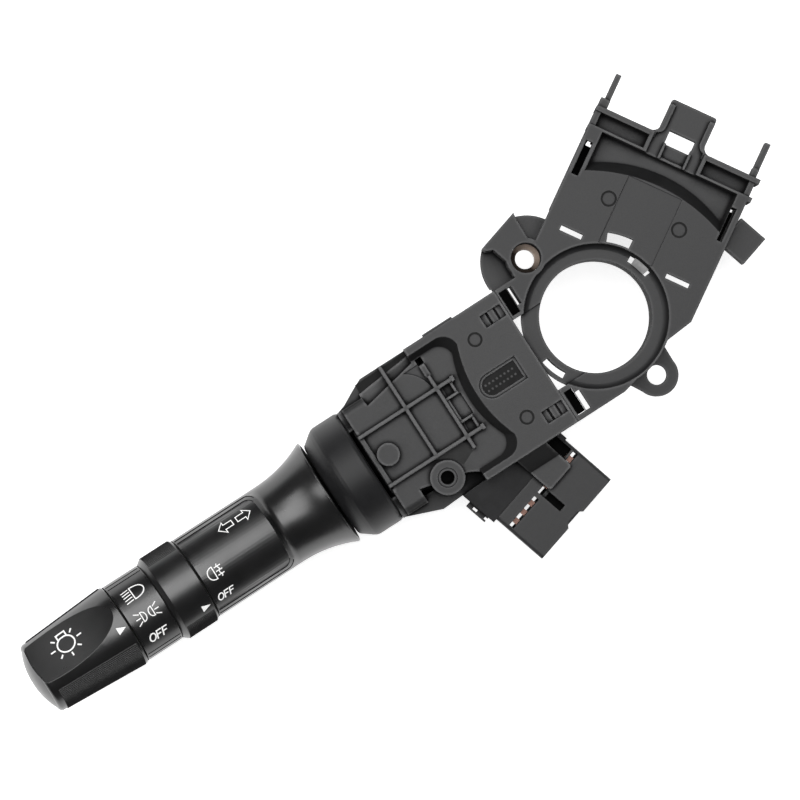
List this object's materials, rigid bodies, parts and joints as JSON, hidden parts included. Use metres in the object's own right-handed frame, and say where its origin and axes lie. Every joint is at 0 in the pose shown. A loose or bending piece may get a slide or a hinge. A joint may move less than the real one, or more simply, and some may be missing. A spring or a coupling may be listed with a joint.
{
  "type": "combination stalk switch",
  "caption": "Steering column combination switch: lever with light knob and fog ring, switch case, plug socket, and column bracket with an empty wiper switch bay.",
  "frame": {"origin": "on the steering column's axis, in the plane of the fixing ears' seats", "axes": "+Z along the column towards the driver, +Y up in the car, +X to the driver's right; the lever points to -X and is raised by 16.2 degrees"},
  "size_m": [0.2683, 0.1015, 0.0517],
  "materials": {
    "bracket_plastic": "fine moulded texture",
    "case_plastic": "fine moulded texture",
    "base_plastic": "fine moulded texture",
    "stalk_plastic": "satin",
    "connector_plastic": "fine moulded texture",
    "slider_plastic": "plain",
    "board_laminate": "plain",
    "copper": "plated",
    "bush_metal": "machined",
    "steel": "zinc plated"
  },
  "bodies": {
    "housing": {"column_bracket": "bracket_plastic", "mounting_bush": "bush_metal", "switch_case": "case_plastic", "switch_base": "base_plastic", "stalk_collar": "stalk_plastic", "case_screws": "steel", "detent_track": "slider_plastic", "contact_board": "board_laminate", "fixed_contacts": "copper", "dimmer_guide": "slider_plastic", "terminal_cover": "connector_plastic", "connector_shroud": "connector_plastic", "connector_terminals": "copper", "harness_clip": "connector_plastic", "cancel_spring": "steel"},
    "yoke": {"turn_yoke": "slider_plastic", "cross_pin": "steel"},
    "lever": {"lever_block": "stalk_plastic", "stalk_core": "steel", "lever_tube": "stalk_plastic", "label_ring": "stalk_plastic", "light_contact_board": "board_laminate", "detent_spring": "steel"},
    "knob": {"light_knob": "stalk_plastic", "knob_wipers": "copper"},
    "fog_selector": {"fog_ring": "stalk_plastic"},
    "plunger": {"detent_plunger": "steel"},
    "turn_carriage": {"turn_slider": "slider_plastic", "turn_brushes": "copper"},
    "dimmer_gate": {"dimmer_slider": "slider_plastic"},
    "pawl": {"cancel_pawl": "slider_plastic"}
  },
  "joints": [
    {"name": "turn_signal", "type": "hinge", "parent": "housing", "child": "yoke", "pos_m": [-0.07223, 0.01984, -0.002], "axis": [0, 0, 1], "range_deg": [-8, 8]},
    {"name": "dimmer", "type": "hinge", "parent": "yoke", "child": "lever", "pos_m": [-0.07223, 0.01984, -0.002], "axis": [0.279, 0.9603, 0], "range_deg": [-4, 6]},
    {"name": "light_selector", "type": "hinge", "parent": "lever", "child": "knob", "pos_m": [-0.1761, 0.05002, 0.01642], "axis": [-0.9393, 0.2729, 0.2079], "range_deg": [-30, 30]},
    {"name": "fog_selector_turn", "type": "hinge", "parent": "lever", "child": "fog_selector", "pos_m": [-0.14511, 0.04101, 0.00956], "axis": [-0.9393, 0.2729, 0.2079], "range_deg": [0, 30]},
    {"name": "detent_slide", "type": "slide", "parent": "lever", "child": "plunger", "axis": [-0.9603, 0.279, 0], "range_m": [0, 0.001], "stiffness_N_per_m": 500, "deforming": ["detent_spring"]},
    {"name": "turn_carriage_slide", "type": "slide", "parent": "housing", "child": "turn_carriage", "axis": [0.279, 0.9603, 0], "range_m": [-0.0014, 0.0014]},
    {"name": "dimmer_gate_slide", "type": "slide", "parent": "housing", "child": "dimmer_gate", "axis": [0, 0, 1], "range_m": [-0.00165, 0.0011]},
    {"name": "cancel_slide", "type": "slide", "parent": "housing", "child": "pawl", "axis": [0.9603, -0.279, 0], "range_m": [0, 0.0025], "stiffness_N_per_m": 150, "deforming": ["cancel_spring"]}
  ],
  "couplings": [
    {"joint": "turn_carriage_slide", "follows": "turn_signal", "m_per_rad": 0.01},
    {"joint": "dimmer_gate_slide", "follows": "dimmer", "m_per_rad": -0.0154}
  ]
}
